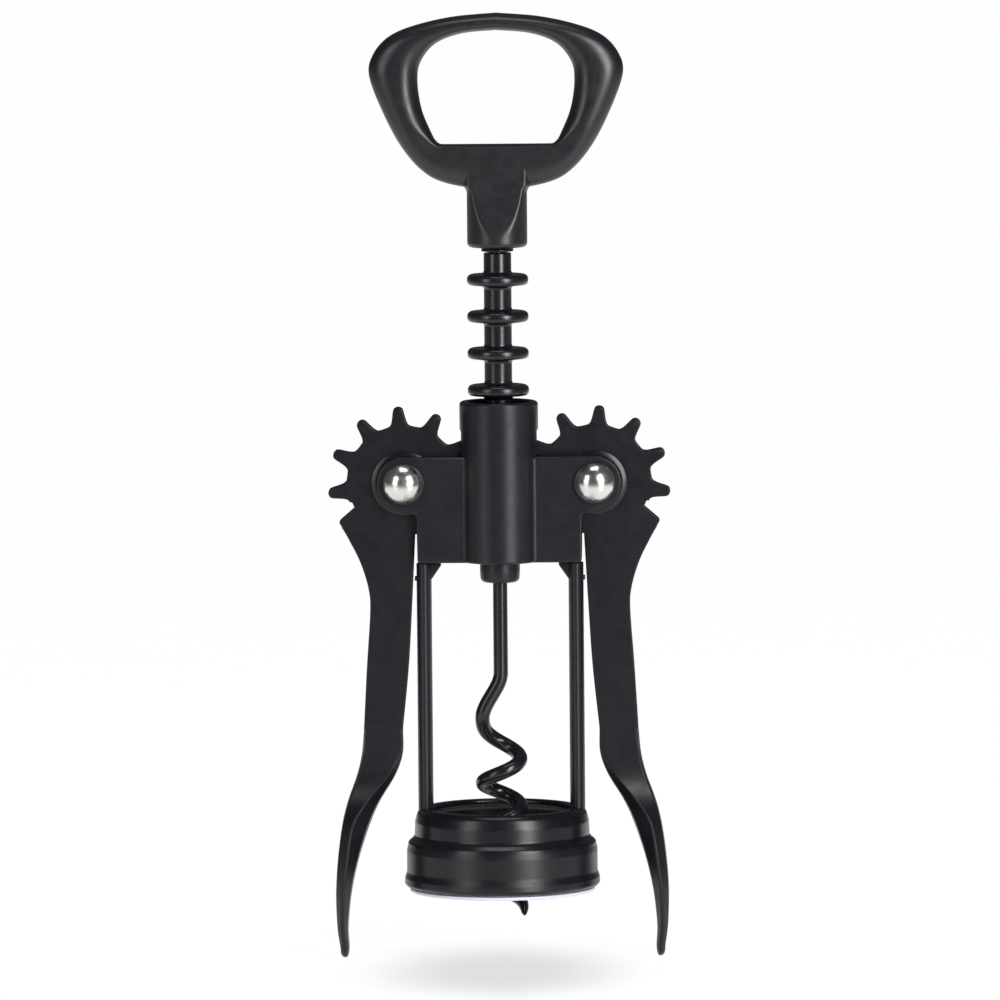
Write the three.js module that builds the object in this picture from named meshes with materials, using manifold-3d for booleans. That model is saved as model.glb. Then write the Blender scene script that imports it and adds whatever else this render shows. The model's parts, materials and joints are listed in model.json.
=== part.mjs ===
// Lever (wing) corkscrew with a bottle-opener handle. Millimetres, +Z up, front facing -Y.
// The origin is on the worm's axis, in the plane of the lever tips. The levers hang down, at rest.
import * as THREE from 'three';
import { mergeVertices } from 'three/addons/utils/BufferGeometryUtils.js';
import Module from 'manifold-3d';

const wasm = await Module();
wasm.setup();

// Clearances.
const GAP = 0.3; // between pieces that fit into or stand on each other
const FACE_GAP = 0.2; // between the faces of lever, washer and cheek
const OVER = 1; // how far a cutting tool runs past the face it cuts

// Rack and gear.
const RACK_PITCH = 7.08;
const RING_RADIUS = 5.9;
const RING_THICKNESS = 2.15;
const RING_EDGE = 0.65;
const RACK_PITCH_RADIUS = 5.4;
const STEM_RADIUS = 2.65;
const GEAR_PITCH_RADIUS = 12.95;
const GEAR_TIP_RADIUS = 14.6;
const GEAR_ROOT_RADIUS = 10.6;
const GEAR_SWEEP = 190; // degrees of the gear that carry teeth, from the rack over the top
// Half a tooth, root to tip: the share of the tooth's height, and the half width there.
const TOOTH_PROFILE = [[0.05, 2.1], [0.15, 1.65], [0.35, 1.35], [0.85, 0.95], [0.96, 0.5], [1, 0]];

// Levers, from the pivot down to the tip.
const LEVER_REACH = 91.5;
const LEVER_THICKNESS = 2.6;
const LEVER_BEVEL = 0.3;
const KNEE_HEIGHT = 38;

// Pivots.
const RIVET_RADIUS = 3.95;
const RIVET_DOME = 2.6;
const CAP_DOME = 1.8;
const SHANK_RADIUS = 2;
const SHANK_TAIL = 0.9;
const WASHER_RADIUS = 6.2;
const WASHER_THICKNESS = 0.4;
const WASHER_RIM = 0.15;
const WASHER_SLOPE = 0.9;

// Head casting.
const BARREL_RADIUS = 7.55;
const BARREL_TOP_ABOVE_PIVOT = 15.6;
const BARREL_EDGE = 0.7;
const HEAD_BOTTOM_BELOW_PIVOT = 15.3;
const CHEEK_THICKNESS = 1.6;
const EAR_RADIUS = 5.2;
const EAR_TOP = 5.1;
const NOTCH_INSET = 2.6;
const NOTCH_DROP = 6.1;

// Posts.
const POST_INSET = 3.75; // from the pivot towards the axis
const POST_WIDTH = 2.9;
const POST_DEPTH = 4.8;
const POST_SPAN = 47.5;
const GUSSET_REACH = 3.3;
const GUSSET_DROP = 3;
const GUSSET_THICKNESS = 2;
const LUG_DROP = 3.2;
const LUG_HEIGHT = 1.6;
const LUG_DEPTH = 2.4;

// Bell and liner. Radii are counted from the posts, which stand on the shoulder.
const MOUTH_INSET = 1.2;
const BODY_OUTSET = 2.25;
const SHOULDER_RADIUS = 3;
const BODY_HEIGHT = 5.3; // from the top plane to the step
const STEP_HEIGHT = 2.3;
const STEP_OUT = 1.5;
const SKIRT_HEIGHT = 7.5;
const FLARE_OUT = 0.45;
const BELL_WALL = 1.3;
const LINER_FLANGE = 0.65;
const LINER_DEPTH = 7.6;

// Handle and thrust washer.
const RACK_TRAVEL = 28.9;
const STOP_GAP = 0.7;
const COLLAR_RADIUS = 5.77;
const COLLAR_EDGE = 0.9;
const COLLAR_LENGTH = 10.9;
const LOOP_WIDTH = 48.8;
const LOOP_HEIGHT = 34.05;
const LOOP_THICKNESS = 6.8;
const LOOP_BEVEL = 1.6;
const WEB_THICKNESS = 5.6;
const OPENING_WIDTH = 30;
const OPENING_HEIGHT = 21.8;
const OPENER_EDGE = 19.8; // above the collar's lower face
const FACET_TOP = 12.8;
const FACET_BOTTOM = 2.4;
const THRUST_RADIUS = 3.1;
const THRUST_THICKNESS = 0.5;

// Worm and ferrule.
const WIRE_RADIUS = 1.4;
const WORM_RADIUS = 3.6;
const WORM_PITCH = 9.3;
const WORM_TURNS = 3.08;
const TIP_BEND = 2.6; // the height of the coil's end that is bent down more steeply
const TIP_DIP = 1.38; // how far the bend lowers the tip
const RUN_OUT = 16.6; // from the coil up to the straight wire
const RUN_OUT_SWING = 0.476; // the share of the run-out where the wire starts to swing back
const TURN_SLOWING = 0.866;
const STRAIGHT_BELOW_FERRULE = 17.5;
const POINT_LENGTH = 5.5;
const SHANK_IN_HANDLE = 9;
const FERRULE_RADIUS = 3.85;
const FERRULE_EDGE = 0.9;
const FERRULE_DROP = 4; // below the head casting
const FERRULE_HEIGHT = 5.8;

// Places that follow from the sizes above.
const PIVOT_X = GEAR_PITCH_RADIUS + RACK_PITCH_RADIUS;
const PIVOT_Z = LEVER_REACH;
const LEVER_HALF = LEVER_THICKNESS / 2;
const CHEEK_INNER = LEVER_HALF + FACE_GAP + WASHER_THICKNESS + FACE_GAP;
const CHEEK_OUTER = CHEEK_INNER + CHEEK_THICKNESS;
const HEAD_BOTTOM = PIVOT_Z - HEAD_BOTTOM_BELOW_PIVOT;
const BARREL_TOP = PIVOT_Z + BARREL_TOP_ABOVE_PIVOT;
const POST_X = PIVOT_X - POST_INSET;
const CHEEK_EDGE_X = PIVOT_X - NOTCH_INSET;
const BELL_TOP = HEAD_BOTTOM - POST_SPAN;
const BELL_BOTTOM = BELL_TOP - BODY_HEIGHT - STEP_HEIGHT - SKIRT_HEIGHT;
const BODY_RADIUS = POST_X + BODY_OUTSET;
const SKIRT_RADIUS = BODY_RADIUS + STEP_OUT;
const RIM_RADIUS = SKIRT_RADIUS + FLARE_OUT;
const COLLAR_BOTTOM = BARREL_TOP + RACK_TRAVEL + STOP_GAP;
const FERRULE_BOTTOM = HEAD_BOTTOM - FERRULE_DROP;
const FERRULE_TOP = FERRULE_BOTTOM + FERRULE_HEIGHT;
const RACK_TOP = COLLAR_BOTTOM - GAP - THRUST_THICKNESS - GAP;
const WORM_BORE = WIRE_RADIUS + GAP;
const COIL_TOP = FERRULE_BOTTOM - STRAIGHT_BELOW_FERRULE - RUN_OUT;
const COIL_END = COIL_TOP - WORM_TURNS * WORM_PITCH;

const black = { color: 0x242529, roughness: 0.42, metalness: 0.55 };
const glossBlack = { color: 0x1b1c1f, roughness: 0.22, metalness: 0.75 };
const polished = { color: 0xc9c7c2, roughness: 0.12, metalness: 1 };
const palePlastic = { color: 0xdcdaea, roughness: 0.4, metalness: 0 };

// ---- Solids ----

// A closed mesh as a solid: shared vertices welded, collapsed triangles dropped, faces turned out.
function solid(geometry) {
  const loose = geometry.index ? geometry.toNonIndexed() : geometry;
  const bare = new THREE.BufferGeometry();
  bare.setAttribute('position', loose.getAttribute('position'));
  const welded = mergeVertices(bare, 1e-4);
  const kept = [];
  for (let i = 0; i < welded.index.count; i += 3) {
    const [a, b, c] = [0, 1, 2].map((k) => welded.index.getX(i + k));
    if (a !== b && b !== c && c !== a) kept.push(a, b, c);
  }
  const vertProperties = new Float32Array(welded.attributes.position.array);
  const build = (corners) => new wasm.Manifold(
    new wasm.Mesh({ numProp: 3, vertProperties, triVerts: new Uint32Array(corners) }));
  const made = build(kept);
  return made.volume() >= 0 ? made : build(kept.reverse());
}

// A solid's surface as a geometry that a mesh can carry.
function surface(body) {
  const mesh = body.getMesh();
  const geometry = new THREE.BufferGeometry();
  geometry.setAttribute('position', new THREE.BufferAttribute(mesh.vertProperties, 3));
  geometry.setIndex(new THREE.BufferAttribute(mesh.triVerts, 1));
  geometry.computeVertexNormals();
  return geometry;
}

const joined = (first, ...rest) => rest.reduce((sum, next) => sum.add(next), first);
const without = (first, ...rest) => rest.reduce((left, tool) => left.subtract(tool), first);

// A profile of [radius, height] points turned about the Z axis.
function turned(profile, segments) {
  const points = profile.map(([radius, height]) => new THREE.Vector2(radius, height));
  return solid(new THREE.LatheGeometry(points, segments).rotateX(Math.PI / 2));
}

// An outline in the XZ plane given thickness along Y, centred on y = 0, with rounded edges.
// Outline and hole both run clockwise, so the hole is turned round here.
function plate(outline, thickness, bevel = 0, hole = null, bevelSegments = 1) {
  const shape = new THREE.Shape(outline);
  if (hole) shape.holes.push(new THREE.Path([...hole].reverse()));
  const geometry = new THREE.ExtrudeGeometry(shape, {
    depth: thickness - 2 * bevel,
    bevelEnabled: bevel > 0,
    bevelThickness: bevel,
    bevelSize: bevel,
    bevelOffset: -bevel,
    bevelSegments,
  });
  geometry.rotateX(Math.PI / 2).translate(0, thickness / 2 - bevel, 0);
  return solid(geometry);
}

// A cylinder along Y through (x, z).
function crossPin(x, z, radius, length, segments = 24) {
  return solid(new THREE.CylinderGeometry(radius, radius, length, segments).translate(x, 0, z));
}

// A closed body through a row of sections, each a ring of the same number of points.
function lofted(sections) {
  const sides = sections[0].length;
  const spans = sections.length - 1;
  const centres = sections.map((ring) => ring
    .reduce((sum, point) => sum.add(point), new THREE.Vector3()).divideScalar(sides));
  const geometry = new THREE.CylinderGeometry(1, 1, 1, sides, spans);
  const position = geometry.getAttribute('position');
  for (let i = 0; i < position.count; i += 1) {
    const row = Math.round((0.5 - position.getY(i)) * spans);
    const turn = Math.atan2(position.getX(i), position.getZ(i)) / (2 * Math.PI);
    const side = (Math.round(turn * sides) + sides) % sides;
    const onAxis = Math.hypot(position.getX(i), position.getZ(i)) < 0.5;
    const { x, y, z } = onAxis ? centres[row] : sections[row][side];
    position.setXYZ(i, x, y, z);
  }
  return solid(geometry);
}

const mirroredX = (body) => body.mirror([1, 0, 0]);
const mix = THREE.MathUtils.lerp;
const vec2 = (x, z) => new THREE.Vector2(x, z);

// A smooth row of points through a few [x, z] points.
function smooth(points, count) {
  return new THREE.SplineCurve(points.map(([x, z]) => vec2(x, z))).getPoints(count);
}

// A right half from the top down to the bottom, closed by its own mirror image.
function closedByMirror(half) {
  const left = half.filter((point) => point.x > 1e-6).map((point) => vec2(-point.x, point.y));
  return [...half, ...left.reverse()];
}

// Points on an arc, from one angle to another, in degrees.
function arc(x, z, radius, from, to, steps) {
  return Array.from({ length: steps + 1 }, (_, i) => {
    const angle = THREE.MathUtils.degToRad(mix(from, to, i / steps));
    return vec2(x + radius * Math.cos(angle), z + radius * Math.sin(angle));
  });
}

// ---- Head casting: barrel, two cheek plates with ears, and the slots that the gears turn in ----

function headCasting() {
  const barrel = turned([
    [0, HEAD_BOTTOM],
    [BARREL_RADIUS, HEAD_BOTTOM],
    [BARREL_RADIUS, BARREL_TOP - BARREL_EDGE],
    [BARREL_RADIUS - 0.3 * BARREL_EDGE, BARREL_TOP - 0.3 * BARREL_EDGE],
    [BARREL_RADIUS - BARREL_EDGE, BARREL_TOP],
    [0, BARREL_TOP],
  ], 32);
  const half = [
    vec2(0, PIVOT_Z + EAR_TOP),
    ...arc(PIVOT_X, PIVOT_Z, EAR_RADIUS, 79, -74, 12),
    vec2(CHEEK_EDGE_X + 0.4, PIVOT_Z - NOTCH_DROP),
    vec2(CHEEK_EDGE_X, PIVOT_Z - NOTCH_DROP - 0.5),
    vec2(CHEEK_EDGE_X, HEAD_BOTTOM + 0.4),
    vec2(CHEEK_EDGE_X - 0.4, HEAD_BOTTOM),
    vec2(0, HEAD_BOTTOM),
  ];
  const cheeks = plate(closedByMirror(half), 2 * CHEEK_OUTER, 0.3);
  const bore = turned([
    [0, HEAD_BOTTOM - OVER],
    [RING_RADIUS + GAP, HEAD_BOTTOM - OVER],
    [RING_RADIUS + GAP, BARREL_TOP + OVER],
    [0, BARREL_TOP + OVER],
  ], 32);
  const slots = [-PIVOT_X, PIVOT_X].map((x) => crossPin(
    x, PIVOT_Z, GEAR_TIP_RADIUS + GAP, 2 * CHEEK_INNER, 48));
  const holes = [-PIVOT_X, PIVOT_X].map((x) => crossPin(
    x, PIVOT_Z, SHANK_RADIUS + GAP, 2 * CHEEK_OUTER + OVER));
  return without(joined(barrel, cheeks), bore, ...slots, ...holes);
}

// ---- Levers: gear sector, flat arm and paddle ----

// Half the arm's outline: the inner and outer edge of the right lever, from the knee up.
const ARM_INNER = [
  [0.55, KNEE_HEIGHT + 6], [-0.7, PIVOT_Z - 35.3], [-1.45, PIVOT_Z - 23], [-2.15, PIVOT_Z - 9.9],
];
const ARM_OUTER = [
  [11.9, PIVOT_Z - 8.6], [10.6, PIVOT_Z - 10.9], [8.4, PIVOT_Z - 15.4],
  [6.9, PIVOT_Z - 20.5], [6.65, PIVOT_Z - 25], [7.35, PIVOT_Z - 35.3], [8.05, KNEE_HEIGHT + 6],
];

// The arm's inner edge at a height, so that the post's lug can meet it.
function armInnerX(height) {
  const above = ARM_INNER.findIndex(([, z]) => z >= height);
  const [x1, z1] = ARM_INNER[above];
  const [x0, z0] = ARM_INNER[above - 1];
  return PIVOT_X + mix(x0, x1, (height - z0) / (z1 - z0));
}

// One tooth of the gear, as points from its rack-side flank over the tip to the other flank.
function tooth(angle) {
  const out = vec2(Math.cos(angle), Math.sin(angle));
  const along = vec2(-out.y, out.x);
  const flank = TOOTH_PROFILE.map(
    ([height, halfWidth]) => [mix(GEAR_ROOT_RADIUS, GEAR_TIP_RADIUS, height), halfWidth]);
  const back = flank.slice(0, -1).reverse().map(([radius, halfWidth]) => [radius, -halfWidth]);
  return [...flank, ...back].map(([radius, offset]) => vec2(PIVOT_X, PIVOT_Z)
    .addScaledVector(out, radius).addScaledVector(along, offset));
}

function gearAndArm() {
  const step = RACK_PITCH / GEAR_PITCH_RADIUS;
  const count = Math.floor(THREE.MathUtils.degToRad(GEAR_SWEEP) / step) + 1;
  const teeth = Array.from({ length: count }, (_, i) => tooth(Math.PI - i * step)).flat();
  const lastValley = THREE.MathUtils.radToDeg(Math.PI - (count - 0.5) * step);
  const atPivot = ([x, z]) => vec2(PIVOT_X + x, z);
  return [
    ...ARM_INNER.map(atPivot),
    ...arc(PIVOT_X, PIVOT_Z, GEAR_ROOT_RADIUS, 250, 198, 4),
    ...teeth,
    ...arc(PIVOT_X, PIVOT_Z, GEAR_ROOT_RADIUS, lastValley + 3, lastValley - 3, 1),
    ...arc(PIVOT_X, PIVOT_Z, GEAR_TIP_RADIUS, -31, -35, 2),
    ...ARM_OUTER.map(atPivot),
  ];
}

// The paddle, from inside the arm down to the tip. Each row: height above the tip, then from the
// pivot line outwards the inner edge, ridge and outer edge, and the half depth at each of the three.
const PADDLE = [
  [KNEE_HEIGHT + 7.5, 0.1, 1, 7.75, 0.8, 1.35, 1.35],
  [KNEE_HEIGHT + 1, 0.45, 1.4, 8.4, 0.7, 1.35, 1.35],
  [KNEE_HEIGHT - 3, 2.1, 3.5, 9.5, 0.8, 1.8, 1.3],
  [30, 5.1, 7.7, 11.3, 1.4, 3.2, 1.4],
  [25.6, 7.05, 10.4, 12.4, 2.2, 4.6, 2.4],
  [19, 9.2, 11.5, 13.3, 3.2, 5.7, 3.4],
  [12.5, 10.65, 12.25, 13.7, 3.6, 6, 3.8],
  [6, 11.35, 12.4, 13.5, 3.2, 5.2, 3.4],
  [2.2, 11.2, 12.05, 13, 2.6, 4.2, 2.7],
  [0, 11.65, 11.95, 12.3, 1.3, 2.4, 1.3],
];

function paddleSection([height, inner, ridge, outer, innerDepth, ridgeDepth, outerDepth]) {
  const quarter = [
    [outer, 0],
    [mix(outer, ridge, 0.06), -outerDepth],
    [ridge, -ridgeDepth],
    [mix(inner, ridge, 0.12), -innerDepth],
    [inner, 0],
  ];
  const back = quarter.slice(1, -1).reverse().map(([x, y]) => [x, -y]);
  return [...quarter, ...back].map(([x, y]) => new THREE.Vector3(PIVOT_X + x, y, height));
}

function rightLever() {
  const flat = plate(gearAndArm(), LEVER_THICKNESS, LEVER_BEVEL);
  const hole = crossPin(PIVOT_X, PIVOT_Z, SHANK_RADIUS + GAP, LEVER_THICKNESS + OVER);
  return without(joined(flat, lofted(PADDLE.map(paddleSection))), hole);
}

// ---- Pivots: rivet with a domed head in front, washers either side of the lever, cap behind ----

// A dome of the given base radius and height, as profile points from the rim to the crown.
function dome(base, height, steps) {
  const sphere = (base * base + height * height) / (2 * height);
  const rim = Math.asin(base / sphere);
  return Array.from({ length: steps + 1 }, (_, i) => {
    const angle = mix(rim, 0, i / steps);
    return [sphere * Math.sin(angle), sphere * Math.cos(angle) - sphere + height];
  });
}

// Turned about Y through the pivot: heights run from the front face of the lever towards -Y.
function onPivot(profile, facing, segments) {
  return turned(profile, segments).rotate([facing > 0 ? 90 : -90, 0, 0])
    .translate([PIVOT_X, 0, PIVOT_Z]);
}

function pivotRivet() {
  const seat = CHEEK_OUTER + GAP;
  const skirt = 0.35;
  return onPivot([
    [0, -CHEEK_OUTER - GAP - SHANK_TAIL],
    [SHANK_RADIUS, -CHEEK_OUTER - GAP - SHANK_TAIL],
    [SHANK_RADIUS, seat],
    [RIVET_RADIUS, seat],
    ...dome(RIVET_RADIUS, RIVET_DOME, 7).map(([radius, height]) => [radius, seat + skirt + height]),
  ], 1, 22);
}

function rivetCap() {
  const seat = CHEEK_OUTER + GAP;
  const skirt = 0.35;
  const socket = seat + SHANK_TAIL + GAP;
  return onPivot([
    [0, socket],
    [SHANK_RADIUS + GAP, socket],
    [SHANK_RADIUS + GAP, seat],
    [RIVET_RADIUS, seat],
    ...dome(RIVET_RADIUS, CAP_DOME, 6).map(([radius, height]) => [radius, seat + skirt + height]),
  ], -1, 22);
}

function hubWasher(facing) {
  const inner = LEVER_HALF + FACE_GAP;
  const outer = inner + WASHER_THICKNESS;
  return onPivot([
    [SHANK_RADIUS + GAP, inner],
    [WASHER_RADIUS, inner],
    [WASHER_RADIUS, inner + WASHER_RIM],
    [WASHER_RADIUS - WASHER_SLOPE, outer],
    [SHANK_RADIUS + GAP, outer],
    [SHANK_RADIUS + GAP, inner],
  ], facing, 28);
}

// ---- Bell and liner ----

// The bell's outer surface from the mouth down to the rim, moved outwards by an offset.
function bellOutside(offset) {
  const centre = BODY_RADIUS - SHOULDER_RADIUS;
  const shoulder = arc(centre, BELL_TOP - SHOULDER_RADIUS, SHOULDER_RADIUS + offset, 90, 0, 6);
  const stepTop = BELL_TOP - BODY_HEIGHT;
  const stepBottom = stepTop - STEP_HEIGHT;
  return [
    ...shoulder.map((point) => [point.x, point.y]),
    [BODY_RADIUS + offset, stepTop + offset],
    [mix(BODY_RADIUS, SKIRT_RADIUS, 0.3) + offset, stepTop - 0.3 * STEP_HEIGHT + offset],
    [mix(BODY_RADIUS, SKIRT_RADIUS, 0.8) + offset, stepTop - 0.6 * STEP_HEIGHT + offset],
    [SKIRT_RADIUS + offset, stepBottom],
    [SKIRT_RADIUS + offset, BELL_BOTTOM + 3.2],
    [RIM_RADIUS + offset, BELL_BOTTOM + 1],
    [RIM_RADIUS - 0.2 + offset, BELL_BOTTOM + 0.3],
    [RIM_RADIUS - 0.7 + offset, BELL_BOTTOM - offset],
  ];
}

const MOUTH_RADIUS = POST_X - MOUTH_INSET;
const SKIRT_BORE = SKIRT_RADIUS - BELL_WALL;

function bell() {
  const underMouth = BELL_TOP - BELL_WALL;
  const innerArc = arc(BODY_RADIUS - SHOULDER_RADIUS, BELL_TOP - SHOULDER_RADIUS,
    SHOULDER_RADIUS - BELL_WALL, 0, 90, 3);
  const stepBottom = BELL_TOP - BODY_HEIGHT - STEP_HEIGHT;
  return turned([
    [MOUTH_RADIUS + 0.35, BELL_TOP],
    ...bellOutside(0),
    [SKIRT_BORE, BELL_BOTTOM],
    [SKIRT_BORE, stepBottom - 0.4],
    [BODY_RADIUS - BELL_WALL, stepBottom + 1],
    ...innerArc.map((point) => [point.x, point.y]),
    [MOUTH_RADIUS + 0.35, underMouth],
    [MOUTH_RADIUS, underMouth + 0.4],
    [MOUTH_RADIUS, BELL_TOP - 0.4],
    [MOUTH_RADIUS + 0.35, BELL_TOP],
  ], 36);
}

function bellLiner() {
  const flangeTop = BELL_BOTTOM - GAP;
  const flangeBottom = flangeTop - LINER_FLANGE;
  const tube = SKIRT_BORE - GAP;
  const bore = BODY_RADIUS - BELL_WALL;
  return turned([
    [bore, flangeBottom],
    [RIM_RADIUS - 1, flangeBottom],
    [RIM_RADIUS - 1, flangeTop],
    [tube, flangeTop],
    [tube, flangeTop + LINER_DEPTH - 0.5],
    [tube - 0.5, flangeTop + LINER_DEPTH],
    [bore, flangeTop + LINER_DEPTH],
    [bore, flangeBottom],
  ], 36);
}

// ---- Right post: oval bar with a gusset under the head, a lever stop, and a foot cut to the bell ----

function rightPost() {
  const top = HEAD_BOTTOM - GAP;
  const bottom = BELL_TOP - SHOULDER_RADIUS;
  const bar = solid(new THREE.CylinderGeometry(1, 1, top - bottom, 20)
    .rotateX(Math.PI / 2).scale(POST_WIDTH / 2, POST_DEPTH / 2, 1)
    .translate(POST_X, 0, (top + bottom) / 2));
  const inside = POST_X - POST_WIDTH / 4;
  const gusset = plate([
    vec2(inside, top), vec2(inside, top - GUSSET_DROP),
    vec2(POST_X - POST_WIDTH / 2, top - GUSSET_DROP),
    vec2(POST_X - GUSSET_REACH, top - 0.3), vec2(POST_X - GUSSET_REACH, top),
  ], GUSSET_THICKNESS);
  const lugTop = HEAD_BOTTOM - LUG_DROP + LUG_HEIGHT / 2;
  const lugReach = armInnerX(HEAD_BOTTOM - LUG_DROP) - GAP;
  const lug = plate([
    vec2(POST_X, lugTop), vec2(lugReach, lugTop - 0.4),
    vec2(lugReach, lugTop - LUG_HEIGHT + 0.4), vec2(POST_X, lugTop - LUG_HEIGHT),
  ], LUG_DEPTH);
  const bellGrown = turned([[0, BELL_TOP + GAP], ...bellOutside(GAP), [0, BELL_BOTTOM - GAP]], 72);
  return without(joined(bar, gusset, lug), bellGrown);
}

// ---- Rack sleeve with its rings ----

function rack() {
  const half = RING_THICKNESS / 2;
  const bottom = FERRULE_TOP + GAP;
  // A gap between two rings is level with the pivots, where the gears' first teeth lie at rest.
  const lowest = Math.ceil((bottom + half - PIVOT_Z) / RACK_PITCH - 0.5);
  const highest = Math.floor((RACK_TOP - half - PIVOT_Z) / RACK_PITCH - 0.5);
  const rings = Array.from({ length: highest - lowest + 1 }, (_, i) => {
    const centre = PIVOT_Z + (lowest + i + 0.5) * RACK_PITCH;
    return [
      [STEM_RADIUS, centre - half],
      [RING_RADIUS - RING_EDGE, centre - half],
      [RING_RADIUS, centre - half + RING_EDGE],
      [RING_RADIUS, centre + half - RING_EDGE],
      [RING_RADIUS - RING_EDGE, centre + half],
      [STEM_RADIUS, centre + half],
    ];
  }).flat();
  return turned([
    [WORM_BORE, bottom], [STEM_RADIUS, bottom], ...rings,
    [STEM_RADIUS, RACK_TOP], [WORM_BORE, RACK_TOP], [WORM_BORE, bottom],
  ], 20);
}

// ---- Handle: loop with a bottle opener, web and collar ----

const LOOP_BOTTOM = COLLAR_BOTTOM + COLLAR_LENGTH;
const LOOP_OUTLINE = [
  [0, 1], [0.35, 0.978], [0.66, 0.927], [0.85, 0.865], [0.965, 0.77], [0.998, 0.66],
  [0.918, 0.484], [0.766, 0.267], [0.59, 0.115], [0.39, 0.04], [0, -0.01],
];
const OPENING_OUTLINE = [
  [0, 1], [0.433, 0.972], [0.767, 0.885], [0.96, 0.725], [1, 0.55],
  [0.947, 0.303], [0.813, 0.078], [0.75, 0.015],
];

function handle() {
  const outer = smooth(LOOP_OUTLINE.map(
    ([x, z]) => [x * LOOP_WIDTH / 2, LOOP_BOTTOM + z * LOOP_HEIGHT]), 24);
  const edge = COLLAR_BOTTOM + OPENER_EDGE;
  const opening = [
    ...smooth(OPENING_OUTLINE.map(
      ([x, z]) => [x * OPENING_WIDTH / 2, edge + z * OPENING_HEIGHT]), 16),
    vec2(0.7 * OPENING_WIDTH / 2, edge),
  ];
  const loop = plate(closedByMirror(outer), LOOP_THICKNESS, LOOP_BEVEL, closedByMirror(opening), 3);
  const collarTop = edge - OVER;
  const collar = turned([
    [0, COLLAR_BOTTOM],
    [COLLAR_RADIUS - COLLAR_EDGE, COLLAR_BOTTOM],
    [COLLAR_RADIUS - 0.3 * COLLAR_EDGE, COLLAR_BOTTOM + 0.3 * COLLAR_EDGE],
    [COLLAR_RADIUS, COLLAR_BOTTOM + COLLAR_EDGE],
    [COLLAR_RADIUS, collarTop],
    [0, collarTop],
  ], 32);
  const bore = turned([
    [0, COLLAR_BOTTOM - OVER], [WORM_BORE, COLLAR_BOTTOM - OVER],
    [WORM_BORE, COLLAR_BOTTOM + SHANK_IN_HANDLE + GAP],
    [0, COLLAR_BOTTOM + SHANK_IN_HANDLE + GAP],
  ], 20);
  return without(joined(loop, collar), bore, facet(1), facet(-1));
}

// What is planed off the collar and web, in front (-1) or behind (1): flat above, sloping out below.
function facet(side) {
  const top = COLLAR_BOTTOM + FACET_TOP;
  const outside = COLLAR_RADIUS + OVER;
  const slope = (COLLAR_RADIUS - WEB_THICKNESS / 2) / (FACET_TOP - FACET_BOTTOM);
  const profile = [
    vec2(WEB_THICKNESS / 2, COLLAR_BOTTOM + OPENER_EDGE + OVER),
    vec2(WEB_THICKNESS / 2, top),
    vec2(outside, top - (outside - WEB_THICKNESS / 2) / slope),
    vec2(outside, COLLAR_BOTTOM + OPENER_EDGE + OVER),
  ];
  return plate(profile, 2 * COLLAR_RADIUS + GAP).rotate([0, 0, 90 * side]);
}

function thrustWasher() {
  const bottom = RACK_TOP + GAP;
  const top = bottom + THRUST_THICKNESS;
  return turned([
    [WORM_BORE, bottom], [THRUST_RADIUS, bottom], [THRUST_RADIUS, top],
    [WORM_BORE, top], [WORM_BORE, bottom],
  ], 24);
}

// ---- Worm: a wire that runs straight down, swings out and coils right-handed to a sharp point ----

class WormPath extends THREE.Curve {
  constructor() {
    super();
    this.arcLengthDivisions = 600;
  }

  getPoint(t, target = new THREE.Vector3()) {
    const z = mix(COLLAR_BOTTOM + SHANK_IN_HANDLE, COIL_END, t);
    const above = THREE.MathUtils.clamp((z - COIL_TOP) / RUN_OUT, 0, 1);
    const radius = WORM_RADIUS * (1 - THREE.MathUtils.smoothstep(above, RUN_OUT_SWING, 1));
    // The turning slows down evenly up the run-out and stops after about half a turn.
    const slowing = Math.min(above, 1 / (2 * TURN_SLOWING));
    const climb = z < COIL_TOP
      ? z - COIL_TOP
      : RUN_OUT * (slowing - TURN_SLOWING * slowing * slowing);
    const angle = 2 * Math.PI * climb / WORM_PITCH;
    const bend = Math.max(0, 1 - (z - COIL_END) / TIP_BEND);
    return target.set(radius * Math.cos(angle), radius * Math.sin(angle), z - TIP_DIP * bend * bend);
  }
}

function worm() {
  const path = new WormPath();
  const sides = 8;
  const steps = 112;
  const frames = path.computeFrenetFrames(steps, false);
  const length = path.getLength();
  const sections = Array.from({ length: steps + 1 }, (_, i) => {
    const centre = path.getPointAt(i / steps);
    const toTip = length * (1 - i / steps);
    const radius = WIRE_RADIUS * Math.min(1, 0.12 + 0.88 * Math.sqrt(toTip / POINT_LENGTH));
    // The point is ground on its inner side, so it ends near the coil's outer edge.
    const outwards = new THREE.Vector3(centre.x, centre.y, 0).normalize();
    centre.addScaledVector(outwards, WIRE_RADIUS - radius);
    return Array.from({ length: sides }, (__, k) => {
      const angle = 2 * Math.PI * k / sides;
      return centre.clone()
        .addScaledVector(frames.normals[i], radius * Math.cos(angle))
        .addScaledVector(frames.binormals[i], radius * Math.sin(angle));
    });
  });
  return lofted(sections);
}

function wormFerrule() {
  return turned([
    [WORM_BORE, FERRULE_BOTTOM],
    [FERRULE_RADIUS - FERRULE_EDGE, FERRULE_BOTTOM],
    [FERRULE_RADIUS - 0.3 * FERRULE_EDGE, FERRULE_BOTTOM + 0.3 * FERRULE_EDGE],
    [FERRULE_RADIUS, FERRULE_BOTTOM + FERRULE_EDGE],
    [FERRULE_RADIUS, FERRULE_TOP],
    [WORM_BORE, FERRULE_TOP],
    [WORM_BORE, FERRULE_BOTTOM],
  ], 24);
}

// ---- The assembly ----

const corkscrew = new THREE.Group();

function add(name, body, look) {
  const mesh = new THREE.Mesh(surface(body), new THREE.MeshStandardMaterial(look));
  mesh.name = name;
  corkscrew.add(mesh);
}

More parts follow.
